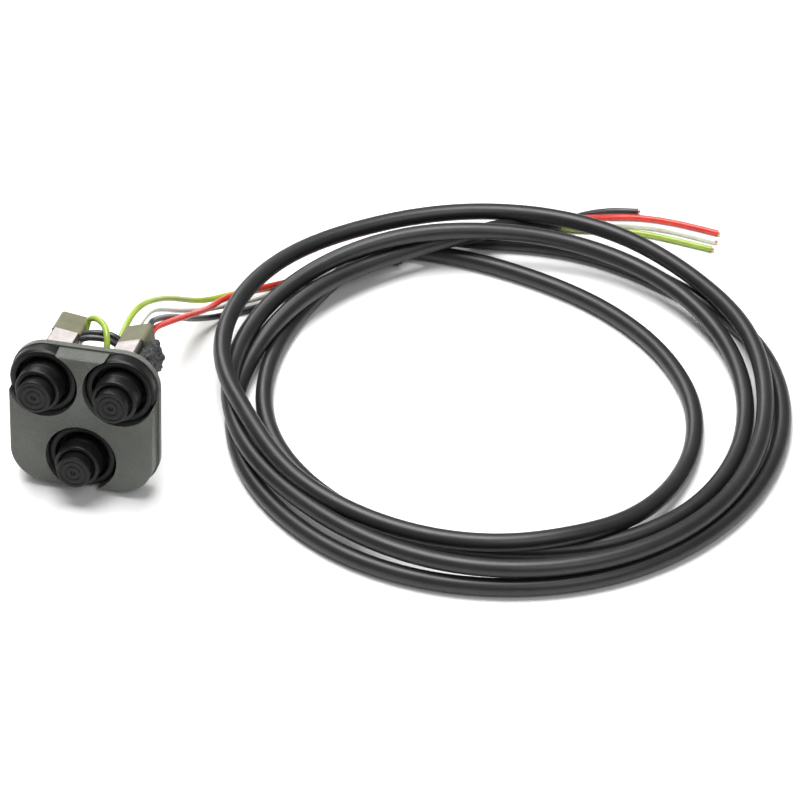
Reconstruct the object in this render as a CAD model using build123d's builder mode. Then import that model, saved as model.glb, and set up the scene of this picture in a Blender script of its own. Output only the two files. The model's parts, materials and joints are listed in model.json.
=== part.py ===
from build123d import *
from math import cos, pi, radians, sin, tan
import os

# Pendant control station: a grained face plate with three booted push buttons, a switch module behind
# each button, the wiring between them, and a loose coil of four-core cable with its cut-off far end.
# +Z is up and the floor is z = 0.  The buttons face -Y, and the plate leans back on its lower edge and
# on the rear of the lower switch module.  Millimetres throughout.

os.makedirs("parts", exist_ok=True)

# ---- driving dimensions ----------------------------------------------------------------------------
plate_width = 56.6
plate_corner = 13.5
pad_height = 7.4
pad_taper = 1.0
pad_edge = 0.8
flange_margin = 0.8
flange_thickness = 2.6
lean = 10.0
face_origin = (0, -16.0, 30.4)

recess_radius = 14.0
upper_spacing = 30.0
upper_height = 15.3
lower_height = -15.7

bead_outer = 13.4
bead_inner = 9.3
bead_top = -1.4
step_radius = 8.85
step_bottom = -3.2
step_top = 5.8
tip_radius = 6.65
tip_top = 10.4
step_edge = 1.4
tip_edge = 0.9
ring_grooves = ((4.6, 3.9), (2.6, 1.9))
ring_depth = 0.35
dimple_radius = 0.8
dimple_depth = 0.6
cap_bore = 6.95
cap_ceiling = 3.6

barrel_radius = 6.5
barrel_top = -1.5
thread_radius = 8.0
thread_hole = 8.1
shoulder_radius = 9.1
shoulder_height = 0.6
barrel_end = -16.0
spring_bore = 5.0
spring_seat = -10.6
rod_radius = 2.0
rod_bore = 2.06
rod_end = -20.0
head_radius = 5.7
head_thickness = 1.5

washer_thickness = 0.8
nut_thickness = 3.0
nut_flats = 20.0
washer_margin = 0.6

case_width = 11.0
case_foot = 6.8
case_corner = 0.8
case_depth = 13.5
case_end = -42.0
cavity_width = 5.0
cavity_depth = 8.5
cavity_front = -18.5
cavity_end = -28.0
sleeve_wall = 0.45
sleeve_front = -29.5
label_thickness = 0.6
lug_depth = -25.2
lug_width = 2.6
lug_thickness = 0.8
lug_reach = 3.6
lug_inner = 1.0
lug_eye_inset = 1.4
lug_eye_radius = 0.6
bridge_thickness = 1.0

block_width = 4.4
block_height = 9.6
block_end = -35.0
block_length = 15.0
block_drop = 0.6
block_corner = 1.6

core_diameter = 2.5
cable_diameter = 7.0

coil_centre = (146.9, 61.8)
coil_outer = 114.5
coil_hole_centre = (140.5, 56.5)
coil_inner = 76.0
coil_height = 20.5
coil_edge = 6.0

# Each switch: place on the plate, turn about its own axis, and sideways offset of its case.
switches = {
    "left": dict(place=(-upper_spacing / 2, upper_height), turn=-8, shift=0.0),
    "right": dict(place=(upper_spacing / 2, upper_height), turn=17, shift=-2.0),
    "lower": dict(place=(0, lower_height), turn=12, shift=0.0),
}

# ---- reference planes ------------------------------------------------------------------------------
normal = Vector(0, -cos(radians(lean)), sin(radians(lean)))
upward = Vector(0, sin(radians(lean)), cos(radians(lean)))
face = Plane(origin=face_origin, x_dir=(1, 0, 0), z_dir=normal)


def station(name, height=0.0):
    """Plane square to a switch's axis, turned with it, `height` in front of the pad's front face."""
    x, y = switches[name]["place"]
    turn = radians(switches[name]["turn"])
    origin = face.origin + Vector(1, 0, 0) * x + upward * y + normal * height
    across = Vector(1, 0, 0) * cos(turn) + upward * sin(turn)
    return Plane(origin=origin, x_dir=across, z_dir=normal)


def side_plane(name):
    """Plane through a switch's axis for half profiles: local X is the radius, local Y the height."""
    plane = station(name)
    return Plane(origin=plane.origin, x_dir=plane.x_dir, z_dir=plane.x_dir.cross(plane.z_dir))


def save(part, name):
    part.label = name
    export_step(part, f"parts/{name}.step")


# ---- routes of wires and cable ---------------------------------------------------------------------
def corner_radii(points):
    """Largest radius at each corner: 0.45 of the shorter run over the tangent of half the turn."""
    vectors = [Vector(*p) for p in points]
    radii = []
    for before, here, after in zip(vectors, vectors[1:], vectors[2:]):
        into, out = here - before, after - here
        half_turn = radians(into.get_angle(out) / 2)
        radii.append(0.45 * min(into.length, out.length) / tan(half_turn))
    return radii


def save_tube(name, points, diameter):
    """Round tube of straight runs joined by tangent arcs, with its tightest radius and volume ratio."""
    radii = corner_radii(points)
    with BuildPart() as tube:
        with BuildLine() as route:
            FilletPolyline(*points, radius=radii)
        with BuildSketch(Plane(origin=route.line @ 0, z_dir=route.line % 0)):
            Circle(diameter / 2)
        sweep(path=route.line)
    length = sum(edge.length for edge in route.edges())
    ratio = tube.part.volume / (pi * diameter ** 2 / 4 * length)
    print(f"{name}: length {length:.1f}, radii {[round(r) for r in radii]}, volume ratio {ratio:.4f}")
    save(tube.part, name)


jumper_routes = {
    "jumper_green": [(-8.4, 25.0, 43.0), (-8.0, 26.6, 46.2), (-5.0, 25.4, 49.6), (-0.8, 21.4, 51.6),
                     (2.2, 17.0, 50.8), (3.4, 12.8, 46.6), (2.6, 9.6, 39.4), (3.4, 8.2, 30.0),
                     (6.0, 7.4, 21.0), (8.9, 7.0, 13.8)],
    "jumper_black_rear": [(-8.8, 20.0, 42.6), (-6.6, 20.6, 44.6), (-2.8, 20.8, 45.2), (1.2, 20.6, 45.4),
                          (4.4, 20.2, 44.0), (6.4, 19.8, 41.8)],
    "jumper_black_front": [(-8.6, 16.4, 43.0), (-6.2, 17.2, 44.9), (-2.4, 17.4, 45.5), (1.4, 17.2, 45.3),
                           (4.4, 17.0, 43.8), (6.2, 16.8, 41.4)],
}
near_core_routes = {
    "core_green": [(4.8, 12.1, 37.9), (4.6, 20.5, 38.2), (4.4, 30.5, 39.4), (5.0, 41.5, 39.4),
                   (6.4, 52.5, 36.0), (8.6, 63.8, 29.4), (10.4, 74.2, 22.0), (13.0, 84.2, 13.6),
                   (18.4, 94.8, 5.2), (27.8, 106.2, 1.5), (39.0, 113.6, 1.3), (50.6, 119.0, 1.3),
                   (62.2, 128.6, 1.3), (75.2, 139.6, 1.3), (91.8, 148.5, 2.1)],
    "core_white": [(5.4, 11.4, 34.6), (6.4, 19.8, 34.2), (7.4, 29.8, 35.8), (8.6, 40.0, 37.0),
                   (9.8, 50.0, 35.2), (11.4, 59.4, 28.4), (13.8, 69.4, 20.0), (16.6, 80.4, 11.8),
                   (21.6, 91.8, 4.2), (31.0, 100.0, 2.2), (42.6, 106.0, 3.2), (53.0, 115.2, 3.9),
                   (64.2, 126.4, 3.9), (77.0, 137.2, 4.1), (92.4, 145.7, 4.9)],
    "core_black": [(20.1, 21.8, 42.8), (18.2, 30.0, 43.4), (16.0, 39.4, 39.8), (15.8, 50.2, 32.4),
                   (16.8, 60.6, 24.4), (18.0, 71.0, 15.0), (21.0, 82.2, 6.6), (27.2, 91.4, 1.6),
                   (36.6, 98.2, 1.3), (45.6, 104.6, 1.3), (54.0, 114.0, 1.3), (64.4, 126.0, 1.3),
                   (77.2, 136.6, 1.3), (92.4, 145.7, 2.1)],
    "core_red": [(21.6, 21.1, 38.4), (20.6, 30.0, 39.2), (18.6, 40.4, 36.6), (18.6, 50.6, 30.6),
                 (20.6, 60.6, 25.0), (22.6, 71.6, 18.6), (24.2, 82.8, 12.2), (26.6, 93.6, 8.6),
                 (32.8, 103.0, 5.8), (41.4, 111.2, 3.9), (50.8, 117.2, 3.8), (62.2, 128.2, 3.8),
                 (75.4, 139.2, 4.0), (91.8, 148.5, 4.9)],
}
tail_route = [(126.3, 159.9, 10.5), (132.0, 165.3, 8.4), (138.4, 170.7, 5.4), (145.2, 175.4, 3.7),
              (151.2, 178.8, 3.5)]
far_core_routes = {
    "far_core_red": [(150.6, 180.1, 4.9), (160.2, 184.4, 3.2), (169.4, 188.8, 1.5), (180.0, 191.8, 1.3),
                     (192.4, 192.4, 1.3), (205.2, 190.9, 1.3), (217.8, 188.4, 1.3)],
    "far_core_white": [(151.8, 177.5, 4.9), (160.2, 180.8, 3.4), (169.0, 184.0, 1.5), (179.4, 186.2, 1.3),
                       (191.4, 186.9, 1.3), (204.4, 185.3, 1.3), (217.6, 182.4, 1.3)],
    "far_core_black": [(150.6, 180.1, 2.1), (156.4, 186.6, 1.4), (164.2, 191.8, 1.3), (173.0, 195.0, 1.3),
                       (182.6, 196.2, 1.3)],
    "far_core_green": [(151.8, 177.5, 2.1), (161.4, 178.4, 1.4), (172.4, 180.6, 1.3), (185.6, 181.8, 1.3),
                       (200.6, 180.0, 1.3), (216.8, 177.0, 1.3)],
}

# ---- face plate ------------------------------------------------------------------------------------
# A pad stands on a slightly larger flange.  Three round recesses run out through the pad's border.
with BuildPart() as face_plate:
    with BuildSketch(face.offset(-pad_height)):
        RectangleRounded(plate_width, plate_width, plate_corner)
    extrude(amount=pad_height, taper=pad_taper)
    fillet(face_plate.faces().sort_by(Axis(face.origin, normal))[-1].edges(), pad_edge)
    with BuildSketch(face.offset(-pad_height - flange_thickness)):
        full_width = plate_width + 2 * flange_margin
        RectangleRounded(full_width, full_width, plate_corner + flange_margin)
    extrude(amount=flange_thickness)
    for name, switch in switches.items():
        with BuildSketch(station(name, -pad_height)):
            Circle(recess_radius)
        extrude(amount=pad_height + 1, mode=Mode.SUBTRACT)
        with BuildSketch(station(name, -pad_height - flange_thickness - 1)):
            Circle(thread_hole)
        extrude(amount=flange_thickness + 2, mode=Mode.SUBTRACT)
save(face_plate.part, "face_plate")


# ---- push buttons ----------------------------------------------------------------------------------
def save_boot_skirt(name):
    """Rubber ring with a half-round bead, seated on the floor of the recess."""
    bead = (bead_outer - bead_inner) / 2
    with BuildPart() as skirt:
        with BuildSketch(side_plane(name)):
            with BuildLine():
                Polyline((bead_inner, bead_top - bead), (bead_inner, -pad_height),
                         (bead_outer, -pad_height), (bead_outer, bead_top - bead))
                ThreePointArc((bead_outer, bead_top - bead), (bead_inner + bead, bead_top),
                              (bead_inner, bead_top - bead))
            make_face()
        revolve(axis=Axis(station(name).origin, normal))
    save(skirt.part, f"boot_skirt_{name}")


def save_button_cap(name):
    """Moving rubber cap: wide step, groove, narrower tip with two raised rings and a dimple."""
    axis = Axis(station(name).origin, normal)
    with BuildPart() as cap:
        with BuildSketch(station(name, step_bottom)):
            Circle(step_radius)
        extrude(amount=step_top - step_bottom)
        fillet(cap.edges().filter_by(GeomType.CIRCLE).sort_by(axis)[-1], step_edge)
        with BuildSketch(station(name, step_top)):
            Circle(tip_radius)
        extrude(amount=tip_top - step_top)
        fillet(cap.edges().filter_by(GeomType.CIRCLE).sort_by(axis)[-1], tip_edge)
        for outer, inner in ring_grooves:
            with BuildSketch(station(name, tip_top)):
                Circle(outer)
                Circle(inner, mode=Mode.SUBTRACT)
            extrude(amount=-ring_depth, mode=Mode.SUBTRACT)
        with BuildSketch(station(name, tip_top)):
            Circle(dimple_radius)
        extrude(amount=-dimple_depth, mode=Mode.SUBTRACT)
        with BuildSketch(station(name, step_bottom)):
            Circle(cap_bore)
        extrude(amount=cap_ceiling - step_bottom, mode=Mode.SUBTRACT)
    save(cap.part, f"button_cap_{name}")


def save_plunger(name):
    """Headed rod that carries the button's travel into the switch."""
    with BuildPart() as plunger:
        with BuildSketch(station(name, cap_ceiling - head_thickness)):
            Circle(head_radius)
        extrude(amount=head_thickness)
        with BuildSketch(station(name, rod_end)):
            Circle(rod_radius)
        extrude(amount=cap_ceiling - head_thickness - rod_end)
    save(plunger.part, f"plunger_{name}")


def save_return_spring(name):
    """Compression spring round the rod, between the barrel's seat and the plunger's head."""
    wire_radius = 0.35
    gap = 0.15
    coil_radius = 3.6
    turns = 6
    bottom = spring_seat + gap + wire_radius
    length = cap_ceiling - head_thickness - gap - wire_radius - bottom
    base = station(name, bottom)
    with BuildPart() as spring:
        with BuildLine():
            wire = Helix(length / turns, length, coil_radius, center=base.origin, direction=normal)
        with BuildSketch(Plane(origin=wire @ 0, z_dir=wire % 0)):
            Circle(wire_radius)
        sweep(path=wire, is_frenet=True)
    save(spring.part, f"return_spring_{name}")


def save_barrel(name):
    """Threaded barrel through the plate, with a shoulder on the recess floor and a guide bore."""
    with BuildPart() as barrel:
        with BuildSketch(station(name, barrel_end)):
            Circle(thread_radius)
        extrude(amount=-pad_height - barrel_end)
        with BuildSketch(station(name, -pad_height)):
            Circle(shoulder_radius)
        extrude(amount=shoulder_height)
        with BuildSketch(station(name, -pad_height)):
            Circle(barrel_radius)
        extrude(amount=pad_height + barrel_top)
        with BuildSketch(station(name, spring_seat)):
            Circle(spring_bore)
        extrude(amount=-spring_seat, mode=Mode.SUBTRACT)
        with BuildSketch(station(name, barrel_end - 1)):
            Circle(rod_bore)
        extrude(amount=spring_seat - barrel_end + 2, mode=Mode.SUBTRACT)
    save(barrel.part, f"barrel_{name}")


# ---- switch modules --------------------------------------------------------------------------------
def case_outline(name, wall=0.0, mode=Mode.ADD):
    """Section of a case, narrower at its foot, offset sideways and grown by a wall."""
    shift = switches[name]["shift"]
    top, foot, rise = case_width / 2 + wall, case_foot / 2 + wall, case_depth / 2 + wall
    with BuildSketch(mode=Mode.PRIVATE) as outline:
        Polygon((shift - foot, -rise), (shift + foot, -rise), (shift + top, rise), (shift - top, rise),
                align=None)
        fillet(outline.vertices(), case_corner + wall)
    add(outline.sketch, mode=mode)


def save_switch_case(name):
    """Moulded box behind the barrel, hollow round the contacts, with a slot for each solder lug."""
    shift = switches[name]["shift"]
    with BuildPart() as case:
        with BuildSketch(station(name, case_end)):
            case_outline(name)
        extrude(amount=barrel_end - case_end)
        with BuildSketch(station(name, cavity_end)):
            Rectangle(cavity_width, cavity_depth)
        extrude(amount=cavity_front - cavity_end, mode=Mode.SUBTRACT)
        with BuildSketch(station(name, cavity_front - 1)):
            Circle(rod_bore)
        extrude(amount=barrel_end - cavity_front + 2, mode=Mode.SUBTRACT)
        with BuildSketch(station(name, lug_depth - lug_thickness)):
            with Locations((shift, 0)):
                Rectangle(case_width + 2, lug_width)
        extrude(amount=lug_thickness, mode=Mode.SUBTRACT)
    save(case.part, f"switch_case_{name}")


def save_contact_bridge(name):
    """Bridge on the end of the plunger that closes the two lugs inside the case."""
    with BuildPart() as bridge:
        with BuildSketch(station(name, rod_end - bridge_thickness)):
            Rectangle(cavity_width - 0.8, lug_width)
        extrude(amount=bridge_thickness)
    save(bridge.part, f"contact_bridge_{name}")


def save_terminals(name):
    """Pair of brass solder lugs, each a fixed contact inside and a pierced tab outside the case."""
    shift = switches[name]["shift"]
    with BuildPart() as lugs:
        with BuildSketch(station(name, lug_depth - lug_thickness)):
            for side in (-1, 1):
                tip = shift + side * (case_width / 2 + lug_reach)
                with Locations(((tip + side * lug_inner) / 2, 0)):
                    Rectangle(abs(tip - side * lug_inner), lug_width)
                with Locations((tip - side * lug_eye_inset, 0)):
                    Circle(lug_eye_radius, mode=Mode.SUBTRACT)
        extrude(amount=lug_thickness)
    save(lugs.part, f"terminals_{name}")


def save_insulating_sleeve(name):
    """Thin fibre sleeve over the rear of the case, closed at the back."""
    with BuildPart() as sleeve:
        with BuildSketch(station(name, case_end - sleeve_wall)):
            case_outline(name, sleeve_wall)
        extrude(amount=sleeve_front - case_end + sleeve_wall)
        with BuildSketch(station(name, case_end)):
            case_outline(name)
        extrude(amount=sleeve_front - case_end + 1, mode=Mode.SUBTRACT)
    save(sleeve.part, f"insulating_sleeve_{name}")


def save_label(name):
    """Blank rating label on the top face of the case, in front of the sleeve."""
    with BuildPart() as label:
        with BuildSketch(station(name, sleeve_front)):
            with Locations((switches[name]["shift"], (case_depth + label_thickness) / 2)):
                Rectangle(case_width - 1.8, label_thickness)
        extrude(amount=barrel_end - sleeve_front)
    save(label.part, f"rating_label_{name}")


for name in switches:
    save_boot_skirt(name)
    save_button_cap(name)
    save_plunger(name)
    save_return_spring(name)
    save_barrel(name)
    save_switch_case(name)
    save_contact_bridge(name)
    save_terminals(name)
    save_insulating_sleeve(name)
for name in ("left", "right"):
    save_label(name)

# Hex nuts and their washers, one of each per barrel.
with BuildPart() as barrel_nuts:
    for name in switches:
        with BuildSketch(station(name, -pad_height - flange_thickness - washer_thickness)):
            RegularPolygon(nut_flats / 2, 6, major_radius=False)
            Circle(thread_radius, mode=Mode.SUBTRACT)
        extrude(amount=-nut_thickness)
save(barrel_nuts.part, "barrel_nuts")

with BuildPart() as barrel_washers:
    for name in switches:
        with BuildSketch(station(name, -pad_height - flange_thickness)):
            Circle(nut_flats / 2 + washer_margin)
            Circle(thread_hole, mode=Mode.SUBTRACT)
        extrude(amount=-washer_thickness)
save(barrel_washers.part, "barrel_washers")

# Cast insulating block over the outer lug of the right switch; two of the cores leave its rear.
with BuildPart() as potting_block:
    block_outer = switches["right"]["shift"] + case_width / 2 + sleeve_wall + block_width
    block_inner = switches["right"]["shift"] + case_foot / 2
    with BuildSketch(station("right", block_end)):
        with Locations(((block_outer + block_inner) / 2, -block_drop)):
            RectangleRounded(block_outer - block_inner, block_height, block_corner)
        case_outline("right", sleeve_wall, mode=Mode.SUBTRACT)
    extrude(amount=block_length)
    with BuildSketch(station("right", lug_depth - lug_thickness)):
        with Locations((switches["right"]["shift"] + (case_width + lug_reach) / 2, 0)):
            Rectangle(lug_reach + case_width - case_foot, lug_width)
    extrude(amount=lug_thickness, mode=Mode.SUBTRACT)
save(potting_block.part, "potting_block")

# ---- wiring and cable ------------------------------------------------------------------------------
for routes in (jumper_routes, near_core_routes, far_core_routes):
    for name, points in routes.items():
        save_tube(name, points, core_diameter)
save_tube("cable_tail", tail_route, cable_diameter)

# Outer shape of the coiled cable: a ring whose hole lies a little towards its front left.
with BuildPart() as cable_coil:
    with BuildSketch():
        with Locations(coil_centre):
            Circle(coil_outer)
        with Locations(coil_hole_centre):
            Circle(coil_inner, mode=Mode.SUBTRACT)
    extrude(amount=coil_height)
    fillet(cable_coil.faces().sort_by(Axis.Z)[-1].edges(), coil_edge)
save(cable_coil.part, "cable_coil")
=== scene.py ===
import json
from math import cos, radians, sin, tau

import bmesh
import bpy
from mathutils import Matrix, Vector, noise


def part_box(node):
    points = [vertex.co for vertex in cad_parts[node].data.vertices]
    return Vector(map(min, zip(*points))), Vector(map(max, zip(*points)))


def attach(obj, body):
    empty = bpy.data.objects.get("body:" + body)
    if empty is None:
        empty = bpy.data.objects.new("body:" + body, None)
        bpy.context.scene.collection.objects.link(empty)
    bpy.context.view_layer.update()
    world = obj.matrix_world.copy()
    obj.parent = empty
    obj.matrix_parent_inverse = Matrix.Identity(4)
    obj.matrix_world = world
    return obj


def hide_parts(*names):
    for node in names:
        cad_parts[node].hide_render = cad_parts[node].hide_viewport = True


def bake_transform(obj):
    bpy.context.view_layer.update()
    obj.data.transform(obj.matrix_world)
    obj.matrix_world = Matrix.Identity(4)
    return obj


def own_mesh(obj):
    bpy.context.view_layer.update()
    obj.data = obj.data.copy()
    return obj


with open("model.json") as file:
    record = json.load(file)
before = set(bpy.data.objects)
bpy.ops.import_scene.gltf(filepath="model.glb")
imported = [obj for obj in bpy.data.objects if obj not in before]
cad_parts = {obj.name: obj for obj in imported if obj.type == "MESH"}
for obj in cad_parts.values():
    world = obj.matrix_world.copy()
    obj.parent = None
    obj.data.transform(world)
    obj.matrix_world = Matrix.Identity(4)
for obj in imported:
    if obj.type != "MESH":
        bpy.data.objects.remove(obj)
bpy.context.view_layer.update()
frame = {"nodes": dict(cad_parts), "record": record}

# Looks of the pendant control station.  Lengths are metres; MM turns the millimetres of the design
# into them.  +Z is up, the floor is z = 0 and the buttons face -Y.
MM = 0.001
NODES = frame["nodes"]
SIDES = ("left", "right", "lower")

# ---- the head's own frame --------------------------------------------------------------------------
LEAN = radians(10)
FACE = Vector((0, -16.0, 30.4)) * MM
NORMAL = Vector((0, -cos(LEAN), sin(LEAN)))
UPWARD = Vector((0, sin(LEAN), cos(LEAN)))
STATIONS = {
    "left": dict(place=(-15.0, 15.3), turn=-8),
    "right": dict(place=(15.0, 15.3), turn=17),
    "lower": dict(place=(0.0, -15.7), turn=12),
}


def station(side):
    """Matrix of a switch: local X across its case, local Y up it, local Z out of the plate."""
    x, y = STATIONS[side]["place"]
    turn = radians(STATIONS[side]["turn"])
    across = Vector((1, 0, 0)) * cos(turn) + UPWARD * sin(turn)
    up = NORMAL.cross(across)
    origin = FACE + (Vector((1, 0, 0)) * x + UPWARD * y) * MM
    matrix = Matrix((across, up, NORMAL)).transposed().to_4x4()
    matrix.translation = origin
    return matrix


# ---- materials -------------------------------------------------------------------------------------
class Shader:
    """A new node material with its Principled shader, and short calls for the nodes that feed it."""

    def __init__(self, name, **values):
        self.material = bpy.data.materials.new(name)
        self.material.use_nodes = True
        self.tree = self.material.node_tree
        self.surface = self.tree.nodes["Principled BSDF"]
        self.coordinates = self.tree.nodes.new("ShaderNodeTexCoord").outputs["Object"]
        for key, value in values.items():
            self.set(key.replace("_", " "), value)

    def set(self, socket, value):
        self.surface.inputs[socket].default_value = value

    def link(self, output, socket):
        self.tree.links.new(output, self.surface.inputs[socket])

    def node(self, kind, **inputs):
        made = self.tree.nodes.new(kind)
        for key, value in inputs.items():
            socket = made.inputs[key.replace("_", " ")]
            if isinstance(value, bpy.types.NodeSocket):
                self.tree.links.new(value, socket)
            else:
                socket.default_value = value
        return made

    def noise(self, scale, detail=4.0, roughness=0.55):
        return self.node("ShaderNodeTexNoise", Vector=self.coordinates, Scale=scale, Detail=detail,
                         Roughness=roughness).outputs["Fac"]

    def cells(self, scale):
        made = self.node("ShaderNodeTexVoronoi", Vector=self.coordinates, Scale=scale)
        made.feature = "DISTANCE_TO_EDGE"
        return made.outputs["Distance"]

    def span(self, value, low, high, from_low=0.0, from_high=1.0):
        made = self.node("ShaderNodeMapRange", Value=value)
        for key, number in zip(("From Min", "From Max", "To Min", "To Max"),
                               (from_low, from_high, low, high)):
            made.inputs[key].default_value = number
        return made.outputs["Result"]

    def ramp(self, value, stops):
        made = self.node("ShaderNodeValToRGB", Fac=value)
        elements = made.color_ramp.elements
        while len(elements) < len(stops):
            elements.new(0.5)
        for element, (position, colour) in zip(elements, stops):
            element.position = position
            element.color = (*colour, 1.0)
        return made.outputs["Color"]

    def bump(self, height, strength, distance):
        made = self.node("ShaderNodeBump", Height=height, Strength=strength)
        made.inputs["Distance"].default_value = distance
        previous = self.surface.inputs["Normal"].links
        if previous:
            self.tree.links.new(previous[0].from_socket, made.inputs["Normal"])
        self.link(made.outputs["Normal"], "Normal")


def mottled(name, dark, light, scale, rough=(0.4, 0.55), grain=900, depth=0.00004, **values):
    """Moulded or coated surface: slow colour variation, varied roughness and fine surface grain."""
    shader = Shader(name, **values)
    shader.link(shader.ramp(shader.noise(scale), [(0.3, dark), (0.7, light)]), "Base Color")
    shader.link(shader.span(shader.noise(scale * 2.7), *rough), "Roughness")
    shader.bump(shader.noise(grain, 3.0), 0.35, depth)
    return shader.material


def leather_grain():
    """Grey enamel with a fine pebbled grain, slightly glossier on the crowns of the pebbles."""
    shader = Shader("plate_grey_grained")
    patches = shader.noise(45, 5.0, 0.6)
    shader.link(shader.ramp(patches, [(0.30, (0.092, 0.100, 0.086)), (0.70, (0.128, 0.137, 0.120))]),
                "Base Color")
    pebbles = shader.cells(1500)
    shader.link(shader.span(pebbles, 0.50, 0.32, 0.0, 0.25), "Roughness")
    shader.bump(shader.span(pebbles, 0.0, 1.0, 0.0, 0.22), 0.6, 0.0003)
    shader.bump(shader.noise(2600, 2.0), 0.15, 0.00004)
    return shader.material


def rubber():
    """Black moulded rubber, satin, with dusty bloom in slow patches."""
    shader = Shader("boot_black_rubber", Specular_IOR_Level=0.26)
    bloom = shader.noise(160, 6.0, 0.65)
    shader.link(shader.ramp(bloom, [(0.35, (0.0036, 0.0033, 0.0034)), (0.75, (0.0105, 0.0094, 0.0095))]),
                "Base Color")
    shader.link(shader.span(shader.noise(420), 0.34, 0.50), "Roughness")
    shader.bump(shader.noise(3200, 3.0), 0.18, 0.00003)
    return shader.material


def jacket():
    """Black cable jacket: satin sheath with faint lay ripple and scuffs."""
    shader = Shader("jacket_black", Specular_IOR_Level=0.5)
    patches = shader.noise(60, 5.0, 0.6)
    shader.link(shader.ramp(patches, [(0.3, (0.0080, 0.0080, 0.0088)), (0.75, (0.0150, 0.0150, 0.0162))]),
                "Base Color")
    shader.link(shader.span(shader.noise(230), 0.33, 0.47), "Roughness")
    shader.bump(shader.noise(170, 2.0), 0.25, 0.00012)
    shader.bump(shader.noise(2400, 2.0), 0.12, 0.00003)
    return shader.material


def insulation(name, dark, light):
    """Coloured core insulation: smooth PVC with slight colour drift along it."""
    return mottled(name, dark, light, 120, rough=(0.28, 0.40), grain=700, depth=0.00003,
                   Coat_Weight=0.15)


def metal(name, dark, light, rough):
    """Plated or bare metal with fine scratches and tarnish."""
    shader = Shader(name, Metallic=1.0)
    shader.link(shader.ramp(shader.noise(300, 6.0), [(0.3, dark), (0.7, light)]), "Base Color")
    shader.link(shader.span(shader.noise(900, 4.0), *rough), "Roughness")
    shader.bump(shader.noise(4000, 2.0), 0.15, 0.00002)
    return shader.material


MATERIALS = {
    "plate": leather_grain(),
    "boot": rubber(),
    "plunger": mottled("nylon_ivory", (0.52, 0.49, 0.40), (0.60, 0.57, 0.48), 200),
    "spring": metal("spring_steel", (0.42, 0.42, 0.43), (0.62, 0.62, 0.62), (0.25, 0.4)),
    "plated": metal("dull_nickel", (0.46, 0.45, 0.42), (0.60, 0.59, 0.56), (0.28, 0.48)),
    "case": mottled("case_brown_black", (0.020, 0.018, 0.015), (0.045, 0.040, 0.034), 240),
    "brass": metal("tinned_brass", (0.50, 0.40, 0.20), (0.70, 0.62, 0.42), (0.25, 0.45)),
    "sleeve": mottled("sleeve_olive", (0.105, 0.102, 0.058), (0.150, 0.146, 0.088), 170,
                      rough=(0.5, 0.68), grain=1600, depth=0.00005),
    "label": mottled("label_pale", (0.36, 0.32, 0.31), (0.52, 0.475, 0.46), 260, rough=(0.3, 0.5)),
    "potting": mottled("potting_rough", (0.012, 0.012, 0.013), (0.070, 0.070, 0.074), 700,
                       rough=(0.45, 0.75), grain=1100, depth=0.0003),
    "cable": jacket(),
    "core_green": insulation("core_green", (0.240, 0.340, 0.030), (0.330, 0.450, 0.060)),
    "core_red": insulation("core_red", (0.560, 0.022, 0.012), (0.700, 0.045, 0.026)),
    "core_white": insulation("core_white", (0.640, 0.630, 0.580), (0.780, 0.770, 0.720)),
    "core_black": insulation("core_black", (0.014, 0.014, 0.015), (0.032, 0.032, 0.034)),
}
TIE_NYLON = mottled("tie_black_nylon", (0.006, 0.006, 0.007), (0.014, 0.014, 0.015), 300,
                    rough=(0.3, 0.45))
COPPER = metal("copper_bright", (0.62, 0.30, 0.16), (0.86, 0.50, 0.30), (0.22, 0.38))


def finish_with(piece, slot):
    """Gives a piece the material of a record slot."""
    piece.data.materials.clear()
    piece.data.materials.append(MATERIALS[slot])


def dress_cad_nodes():
    """Puts each CAD node's material in place of the plain one that it was packed with."""
    for entry in frame["record"]["subparts"]:
        for material_slot in NODES[entry["node"]].material_slots:
            material_slot.link = "OBJECT"
            material_slot.material = MATERIALS[entry["material_slot"]]


# ---- mesh helpers ----------------------------------------------------------------------------------
def mesh_piece(name, bm, smooth=True):
    """A new object from a bmesh, with outward faces."""
    bmesh.ops.recalc_face_normals(bm, faces=bm.faces)
    mesh = bpy.data.meshes.new(name)
    bm.to_mesh(mesh)
    bm.free()
    if smooth:
        mesh.polygons.foreach_set("use_smooth", [True] * len(mesh.polygons))
    piece = bpy.data.objects.new(name, mesh)
    bpy.context.collection.objects.link(piece)
    return piece


def turned(name, profile, matrix, segments=96):
    """Surface of revolution about local Z from (radius, height) points in millimetres."""
    bm = bmesh.new()
    rings = []
    for radius, height in profile:
        if radius == 0:
            rings.append([bm.verts.new(matrix @ Vector((0, 0, height * MM)))])
            continue
        rings.append([bm.verts.new(matrix @ (Vector((radius * cos(tau * k / segments),
                                                     radius * sin(tau * k / segments), height)) * MM))
                      for k in range(segments)])
    for lower, upper in zip(rings, rings[1:]):
        for k in range(segments):
            following = (k + 1) % segments
            corners = [lower[k % len(lower)], lower[following % len(lower)],
                       upper[following % len(upper)], upper[k % len(upper)]]
            bm.faces.new(list(dict.fromkeys(corners)))
    return mesh_piece(name, bm)


def rounded(points, radius_of, steps=5):
    """The (radius, height) outline with each corner turned into a short arc."""
    outline = [points[0]]
    for before, here, after in zip(points, points[1:], points[2:]):
        size = radius_of.get(here, 0)
        if not size:
            outline.append(here)
            continue
        here_v = Vector(here)
        into = (Vector(before) - here_v).normalized() * size
        out = (Vector(after) - here_v).normalized() * size
        for k in range(steps + 1):
            t = k / steps
            point = here_v + into * (1 - t) ** 2 + out * t ** 2
            outline.append((point.x, point.y))
    outline.append(points[-1])
    return outline


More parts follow.
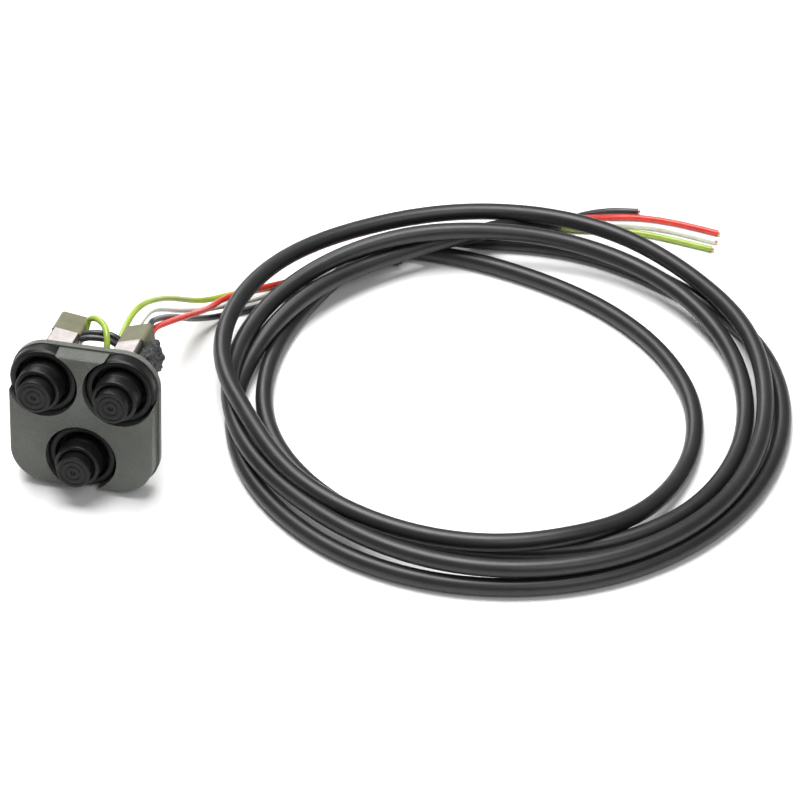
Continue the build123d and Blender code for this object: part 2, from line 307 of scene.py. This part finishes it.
# ---- rubber boots ----------------------------------------------------------------------------------
def make_boot(side):
    """One-piece rubber boot: bead in the recess, valley, wide step, groove and ringed tip."""
    corners = [
        ((13.4, -7.35), 0.0), ((13.45, -2.7), 1.0), ((11.8, -1.2), 1.3), ((10.3, -2.4), 0.8),
        ((9.75, -5.4), 0.5), ((9.0, -5.4), 0.4), ((8.75, -0.9), 0.3), ((9.0, -0.3), 0.3),
        ((9.0, 0.5), 0.3), ((8.8, 1.0), 0.3), ((8.75, 5.75), 0.8), ((7.3, 5.95), 0.4),
        ((6.45, 5.0), 0.3), ((6.35, 6.4), 0.3), ((6.70, 10.35), 0.55), ((5.45, 10.4), 0.2),
        ((5.25, 10.1), 0.15), ((4.75, 10.1), 0.15), ((4.55, 10.4), 0.2), ((3.3, 10.35), 0.2),
        ((3.1, 10.05), 0.15), ((2.6, 10.05), 0.15), ((2.4, 10.35), 0.2), ((1.1, 10.35), 0.25),
        ((0.8, 9.75), 0.2), ((0.0, 9.7), 0.0),
    ]
    points = [corner for corner, _ in corners]
    outline = rounded(points, dict(corners))
    place = station(side)
    boot = turned(f"boot_{side}", outline, place)
    finish_with(boot, "boot")
    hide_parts(f"boot_skirt_{side}", f"button_cap_{side}")
    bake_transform(boot)


def make_spring(side):
    """Helical return spring round the plunger."""
    wire = 0.35
    coil = 3.6
    turns = 6
    per_turn = 40
    around = 12
    bottom = -10.10
    height = 11.70
    place = station(side)
    bm = bmesh.new()
    loops = []
    for k in range(turns * per_turn + 1):
        angle = tau * k / per_turn
        outward = Vector((cos(angle), sin(angle), 0))
        middle = outward * coil + Vector((0, 0, bottom + height * k / (turns * per_turn)))
        slope = Vector((-sin(angle) * coil, cos(angle) * coil, height / (turns * tau))).normalized()
        upward = slope.cross(outward)
        loops.append([bm.verts.new(place @ ((middle + outward * wire * cos(tau * j / around)
                                             + upward * wire * sin(tau * j / around)) * MM))
                      for j in range(around)])
    for first, second in zip(loops, loops[1:]):
        for j in range(around):
            bm.faces.new((first[j], first[(j + 1) % around], second[(j + 1) % around], second[j]))
    bm.faces.new(loops[0])
    bm.faces.new(loops[-1])
    spring = mesh_piece(f"spring_{side}", bm)
    finish_with(spring, "spring")
    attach(spring, "root")
    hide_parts(f"return_spring_{side}")
    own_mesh(spring)


# ---- wires and cable -------------------------------------------------------------------------------
CORE_DIAMETER = 2.5 * MM
CABLE_DIAMETER = 7.0 * MM

JUMPERS = {
    "jumper_green": [(-8.8, 24.8, 42.0), (-8.6, 27.0, 45.2), (-5.6, 25.8, 48.2), (-1.4, 22.4, 49.6),
                     (1.8, 18.0, 49.8), (3.5, 12.8, 46.6), (2.6, 9.6, 39.4), (3.4, 8.2, 30.0),
                     (6.0, 7.4, 21.0), (8.9, 7.0, 13.8)],
    "jumper_black_rear": [(-8.8, 20.0, 43.6), (-6.0, 20.4, 44.8), (-2.4, 20.6, 45.1), (1.4, 20.6, 45.2),
                          (4.4, 20.3, 44.6), (6.6, 20.0, 43.2)],
    "jumper_black_front": [(-8.6, 16.4, 44.2), (-6.0, 17.0, 45.1), (-2.4, 17.4, 45.3), (1.4, 17.2, 45.4),
                           (4.2, 17.0, 44.8), (6.4, 16.8, 43.4)],
}
NEAR_CORES = {
    "core_green": [(4.8, 12.1, 37.9), (4.6, 20.5, 38.2), (4.4, 30.5, 39.4), (5.0, 41.5, 39.4),
                   (6.4, 52.5, 36.0), (8.6, 63.8, 29.4), (10.4, 74.2, 22.0), (13.0, 84.2, 13.6),
                   (18.4, 94.8, 5.2), (27.8, 106.2, 1.5), (39.0, 113.6, 1.3), (50.6, 119.0, 1.3),
                   (62.2, 128.6, 1.3), (75.2, 139.6, 1.3), (91.8, 148.5, 2.1)],
    "core_white": [(5.4, 11.4, 34.6), (6.4, 19.8, 34.2), (7.4, 29.8, 35.8), (8.6, 40.0, 37.0),
                   (9.8, 50.0, 35.2), (11.4, 59.4, 28.4), (13.8, 69.4, 20.0), (16.6, 80.4, 11.8),
                   (21.6, 91.8, 4.2), (31.0, 100.0, 2.2), (42.6, 106.0, 3.2), (53.0, 115.2, 3.9),
                   (64.2, 126.4, 3.9), (77.0, 137.2, 4.1), (92.4, 145.7, 4.9)],
    "core_black": [(15.4, 27.6, 42.4), (14.6, 33.4, 43.0), (14.8, 40.4, 39.0), (15.6, 50.6, 32.0),
                   (16.8, 60.6, 24.4), (18.0, 71.0, 15.0), (21.0, 82.2, 6.6), (27.2, 91.4, 1.6),
                   (36.6, 98.2, 1.3), (45.6, 104.6, 1.3), (54.0, 114.0, 1.3), (64.4, 126.0, 1.3),
                   (77.2, 136.6, 1.3), (92.4, 145.7, 2.1)],
    "core_red": [(15.9, 27.6, 39.6), (15.3, 33.4, 39.4), (16.4, 41.0, 35.8), (18.2, 50.4, 30.6),
                 (20.6, 60.6, 25.0), (22.6, 71.6, 18.6), (24.2, 82.8, 12.2), (26.6, 93.6, 8.6),
                 (32.8, 103.0, 5.8), (41.4, 111.2, 3.9), (50.8, 117.2, 3.8), (62.2, 128.2, 3.8),
                 (75.4, 139.2, 4.0), (91.8, 148.5, 4.9)],
}
TAIL = [(126.3, 159.9, 10.5), (132.0, 165.3, 8.4), (138.4, 170.7, 5.4), (145.2, 175.4, 3.7),
        (151.2, 178.8, 3.5)]
FAR_CORES = {
    "far_core_red": [(150.6, 180.1, 4.9), (160.2, 184.4, 3.2), (169.4, 188.8, 1.5), (180.0, 191.8, 1.3),
                     (192.4, 192.4, 1.3), (205.2, 190.9, 1.3), (217.8, 188.4, 1.3)],
    "far_core_white": [(151.8, 177.5, 4.9), (160.2, 180.8, 3.4), (169.0, 184.0, 1.5), (179.4, 186.2, 1.3),
                       (191.4, 186.9, 1.3), (204.4, 185.3, 1.3), (217.6, 182.4, 1.3)],
    "far_core_black": [(150.6, 180.1, 2.1), (156.4, 186.6, 1.4), (164.2, 191.8, 1.3), (173.0, 195.0, 1.3),
                       (182.6, 196.2, 1.3)],
    "far_core_green": [(151.8, 177.5, 2.1), (161.4, 178.4, 1.4), (172.4, 180.6, 1.3), (185.6, 181.8, 1.3),
                       (200.6, 180.0, 1.3), (216.8, 177.0, 1.3)],
}

# The loose coil, clockwise from above: travel in degrees from the start, then the distance from the
# coil's centre and the height of the cable's centreline, where the turns change their course.
COIL_CENTRE = (146.6, 59.9)
COIL_START = 120
COIL_STEP = 8
COIL_COURSE = [
    (-2, 102.8, 3.5), (4, 96.9, 3.5), (14, 89.3, 3.5), (25, 82.2, 3.5), (38, 76.9, 3.5), (50, 74.2, 3.5),
    (63, 72.8, 3.5), (88, 73.9, 3.5), (112, 78, 3.5), (140, 82.8, 4.5), (165, 86.6, 7.5), (180, 87.4, 10),
    (198, 88.4, 10.8), (228, 90.8, 12), (254, 95.7, 14.5), (275, 99.5, 17), (294, 108.8, 17.5),
    (322, 114, 16.5), (354, 111, 14), (376, 110.5, 13.2), (401, 111.5, 11.2), (428, 108, 10.3),
    (450, 107.5, 10.5), (472, 106, 8), (508, 106, 9), (558, 102, 10.5), (600, 99, 10.5),
    (655, 105.2, 10.6), (690, 101.5, 14), (715, 95.5, 17.3), (735, 91.8, 17.5), (760, 94.5, 13.5),
    (790, 97.5, 9.5), (812, 98.8, 6), (832, 98.5, 3.5), (868, 96, 3.5), (918, 85, 3.5),
    (965, 85.5, 3.5), (1001, 90.8, 3.5), (1025, 93, 3.5), (1048, 96.5, 3.8), (1062, 100, 6.4),
    (1071, 102, 9.6), (1078, 102.8, 10.8), (1084, 102.9, 8.6), (1090, 102.6, 5), (1096, 102.2, 3.5),
    (1118, 102.5, 3.5), (1145, 104.3, 3.5), (1170, 111.8, 3.5), (1191, 113.2, 3.5), (1215, 111.5, 3.5),
    (1245, 107.9, 3.5), (1278, 104.8, 3.5), (1320, 105, 3.5), (1362, 103.8, 3.5), (1378, 101, 5.5),
    (1392, 97.6, 9), (1402, 95.5, 10.6), (1416, 94, 10.4), (1428, 93.6, 9.8), (1440, 94.3, 10.6),
    (1449, 96.3, 10.8), (1455, 98.6, 10.8),
]


def eased(course, travel):
    """Radius and height at a travel, by a smooth curve through the course's rows."""
    index = max(i for i, row in enumerate(course[:-1]) if row[0] <= travel)

    def slope(i, column):
        i = min(max(i, 1), len(course) - 2)
        (a, b, c) = course[i - 1:i + 2]
        left = (b[column] - a[column]) / (b[0] - a[0])
        right = (c[column] - b[column]) / (c[0] - b[0])
        return (left * (c[0] - b[0]) + right * (b[0] - a[0])) / (c[0] - a[0])

    here, there = course[index], course[index + 1]
    run = there[0] - here[0]
    t = (travel - here[0]) / run
    values = []
    for column in (1, 2):
        values.append(here[column] * (1 + 2 * t) * (1 - t) ** 2 + there[column] * t * t * (3 - 2 * t)
                      + run * slope(index, column) * t * (1 - t) ** 2
                      + run * slope(index + 1, column) * t * t * (t - 1))
    return values


def coil_points():
    """Control points of the coil's turns, set out a little so that the curve has the course's radii."""
    start, end = COIL_COURSE[0][0], COIL_COURSE[-1][0]
    count = round((end - start) / COIL_STEP)
    points = []
    for k in range(count + 1):
        travel = start + (end - start) * k / count
        radius, height = eased(COIL_COURSE, travel)
        if 0 < k < count:
            radius /= cos(radians(COIL_STEP / 2))
        height = max(height, CABLE_DIAMETER / MM / 2)
        angle = radians(COIL_START - travel)
        points.append((COIL_CENTRE[0] + radius * cos(angle), COIL_CENTRE[1] + radius * sin(angle), height))
    return points


def strand(name, points, diameter, slot, segments=12):
    """Round wire on one smooth NURBS spline with the route's points as its control points."""
    curve = bpy.data.curves.new(name, "CURVE")
    curve.dimensions = "3D"
    spline = curve.splines.new("NURBS")
    spline.points.add(len(points) - 1)
    for point, place in zip(spline.points, points):
        point.co = (*(Vector(place) * MM), 1.0)
    spline.order_u = 3
    spline.use_endpoint_u = True
    spline.resolution_u = segments
    curve.bevel_depth = diameter / 2
    curve.bevel_resolution = 6
    curve.use_fill_caps = True
    piece = bpy.data.objects.new(name, curve)
    bpy.context.collection.objects.link(piece)
    finish_with(piece, slot)
    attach(piece, "root")
    return piece


def line_points(piece):
    """Points along a strand's centreline, in metres."""
    bare = piece.copy()
    bare.data = piece.data.copy()
    bare.data.bevel_depth = 0
    mesh = bpy.data.meshes.new_from_object(bare)
    points = [vertex.co.copy() for vertex in mesh.vertices]
    bpy.data.objects.remove(bare)
    bpy.data.meshes.remove(mesh)
    return points


def length_of(piece):
    """Length of a strand's own drawn centreline, in metres."""
    points = line_points(piece)
    return sum((b - a).length for a, b in zip(points, points[1:]))


def make_wires():
    """The jumpers, the cores and the cable, each on its own spline."""
    for name, points in JUMPERS.items():
        colour = "core_green" if "green" in name else "core_black"
        piece = strand(f"{name}_wire", points, CORE_DIAMETER, colour)
        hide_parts(name)
    for name, points in NEAR_CORES.items():
        piece = strand(f"{name}_wire", points, CORE_DIAMETER, name)
        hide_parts(name)
        length_of(piece)
    cable = strand("cable_jacket", coil_points() + TAIL, CABLE_DIAMETER, "cable")
    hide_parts("cable_coil", "cable_tail")
    Vector(coil_points()[0]) * MM
    length_of(cable)
    for name, points in FAR_CORES.items():
        piece = strand(f"{name}_wire", points, CORE_DIAMETER, name.replace("far_", ""))
        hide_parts(name)
        length_of(piece)


# ---- small rough and trim pieces --------------------------------------------------------------------
def make_potting():
    """Torn insulating block beside the right switch: a lump with ragged, pitted faces."""
    width, depth, length = 5.2, 9.4, 15.0
    widening = 0.16
    sink = 0.5
    low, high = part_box("potting_block")
    centre = (Vector(low) + Vector(high)) / 2
    turn = station("right").to_3x3()
    bm = bmesh.new()
    bmesh.ops.create_cube(bm, size=1.0)
    bmesh.ops.subdivide_edges(bm, edges=bm.edges, cuts=14, use_grid_fill=True)
    for vertex in bm.verts:
        local = Vector((vertex.co.x * width, vertex.co.y * depth, vertex.co.z * length))
        outward = Vector((vertex.co.x ** 3, vertex.co.y ** 3, vertex.co.z ** 3)).normalized()
        lumps = noise.noise(local * 0.45) * 1.3
        chips = noise.noise(local * 1.3) * 0.9
        pits = noise.noise(local * 3.1) * 0.35
        rough = lumps + chips + pits
        taper = 1 + widening * vertex.co.z
        local = Vector((local.x * taper, local.y * taper, local.z)) + outward * (rough - sink)
        vertex.co = centre + turn @ local * MM
    block = mesh_piece("potting_lump", bm, smooth=False)
    finish_with(block, "potting")
    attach(block, "root")
    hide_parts("potting_block")


def make_conductor_ends():
    """Cut copper strands in the free end of each core."""
    outer_strands = 6
    bundle_radius = 0.42
    buried = 0.5
    bm = bmesh.new()
    for points in FAR_CORES.values():
        tip = Vector(points[-1])
        along = (Vector(points[-1]) - Vector(points[-2])).normalized()
        frame_at = along.to_track_quat("Z", "Y").to_matrix()
        for k in range(outer_strands + 1):
            ring = 0.0 if k == 0 else bundle_radius
            side = frame_at @ Vector((ring * cos(tau * k / outer_strands),
                                      ring * sin(tau * k / outer_strands), 0))
            length = 0.9 + 0.35 * noise.noise(tip + Vector((k * 3.7, 0, 0)))
            middle = (tip + side + along * (length / 2 - buried / 2)) * MM
            place = Matrix.Translation(middle) @ frame_at.to_4x4()
            bmesh.ops.create_cone(bm, cap_ends=True, segments=10, radius1=0.2 * MM, radius2=0.16 * MM,
                                  depth=(length + buried) * MM, matrix=place)
    ends = mesh_piece("conductor_ends", bm)
    ends.data.materials.append(COPPER)
    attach(ends, "root")


def make_tie():
    """Nylon tie round the cores where the jacket starts, with its head and its cut tail."""
    middle = Vector((89.4, 146.9, 3.7))
    radius = 3.1
    thickness = 0.5
    width = 2.4
    segments = 40
    head = ((4.2, 3.0, 4.0), (0, -4.4, -1.0))
    cut_tail = ((2.4, 3.6, 1.1), (0.2, -7.2, -1.4))
    bm = bmesh.new()
    rings = []
    for across in (-width / 2, width / 2):
        for grow in (0.0, thickness):
            rings.append([bm.verts.new((middle + Vector((across, (radius + grow) * cos(tau * k / segments),
                                                         (radius + grow) * sin(tau * k / segments))))
                                       * MM)
                          for k in range(segments)])
    for first, second in ((0, 1), (1, 3), (3, 2), (2, 0)):
        for k in range(segments):
            following = (k + 1) % segments
            bm.faces.new((rings[first][k], rings[first][following], rings[second][following],
                          rings[second][k]))
    for size, offset in (head, cut_tail):
        made = bmesh.ops.create_cube(bm, size=1.0)["verts"]
        for vertex in made:
            vertex.co = (middle + Vector(offset) + Vector([a * b for a, b in zip(vertex.co, size)])) * MM
        edges = list({edge for vertex in made for edge in vertex.link_edges})
        bmesh.ops.bevel(bm, geom=edges, offset=0.3 * MM, segments=2, affect="EDGES", profile=0.5)
    tie = mesh_piece("cable_tie", bm, smooth=False)
    tie.data.materials.append(TIE_NYLON)
    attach(tie, "root")


# ---- stage -----------------------------------------------------------------------------------------
VIEW_TARGET = Vector((108.6, 57.0, 0.0)) * MM
VIEW_DISTANCE = 1.276
VIEW_ELEVATION = radians(41)
VIEW_AZIMUTH = radians(12)
LENS = 144.5


def make_camera():
    """Camera at the product view's angle: from above, a little to the right of the buttons."""
    camera = bpy.data.objects.new("camera", bpy.data.cameras.new("camera"))
    bpy.context.collection.objects.link(camera)
    camera.data.lens = LENS
    camera.data.sensor_width = 36
    camera.data.clip_start = 0.01
    back = Vector((sin(VIEW_AZIMUTH) * cos(VIEW_ELEVATION), -cos(VIEW_AZIMUTH) * cos(VIEW_ELEVATION),
                   sin(VIEW_ELEVATION)))
    camera.location = VIEW_TARGET + back * VIEW_DISTANCE
    camera.rotation_euler = back.to_track_quat("Z", "Y").to_euler()
    bpy.context.scene.camera = camera


def make_light(name, place, size, energy):
    """Round soft lamp, in metres and watts, aimed at the middle of the view."""
    lamp = bpy.data.objects.new(name, bpy.data.lights.new(name, "AREA"))
    bpy.context.collection.objects.link(lamp)
    lamp.data.shape = "DISK"
    lamp.data.size = size
    lamp.data.energy = energy
    lamp.location = place
    lamp.rotation_euler = (Vector(place) - VIEW_TARGET).to_track_quat("Z", "Y").to_euler()


def make_stage():
    """White floor, pale surroundings and three soft lamps."""
    below_parts = 0.0001
    bm = bmesh.new()
    bmesh.ops.create_grid(bm, x_segments=1, y_segments=1, size=6.0)
    floor = mesh_piece("floor", bm, smooth=False)
    floor.location = (0, 0, -below_parts)
    shader = Shader("floor_white", Base_Color=(0.92, 0.92, 0.92, 1), Roughness=0.7)
    floor.data.materials.append(shader.material)
    world = bpy.data.worlds.new("studio")
    bpy.context.scene.world = world
    world.use_nodes = True
    background = world.node_tree.nodes["Background"]
    background.inputs["Color"].default_value = (1.0, 1.0, 1.0, 1.0)
    background.inputs["Strength"].default_value = 0.25
    make_light("key", (-0.1, 0.25, 1.5), 1.1, 34)
    make_light("fill", (0.8, -0.7, 1.1), 0.8, 5)
    make_light("rim", (-0.6, 1.0, 0.9), 0.7, 8)


# ---- assembly --------------------------------------------------------------------------------------
dress_cad_nodes()
for side in SIDES:
    make_boot(side)
    make_spring(side)
make_wires()
make_potting()
make_conductor_ends()
make_tie()
make_stage()
make_camera()
bpy.context.scene.view_settings.view_transform = "Standard"
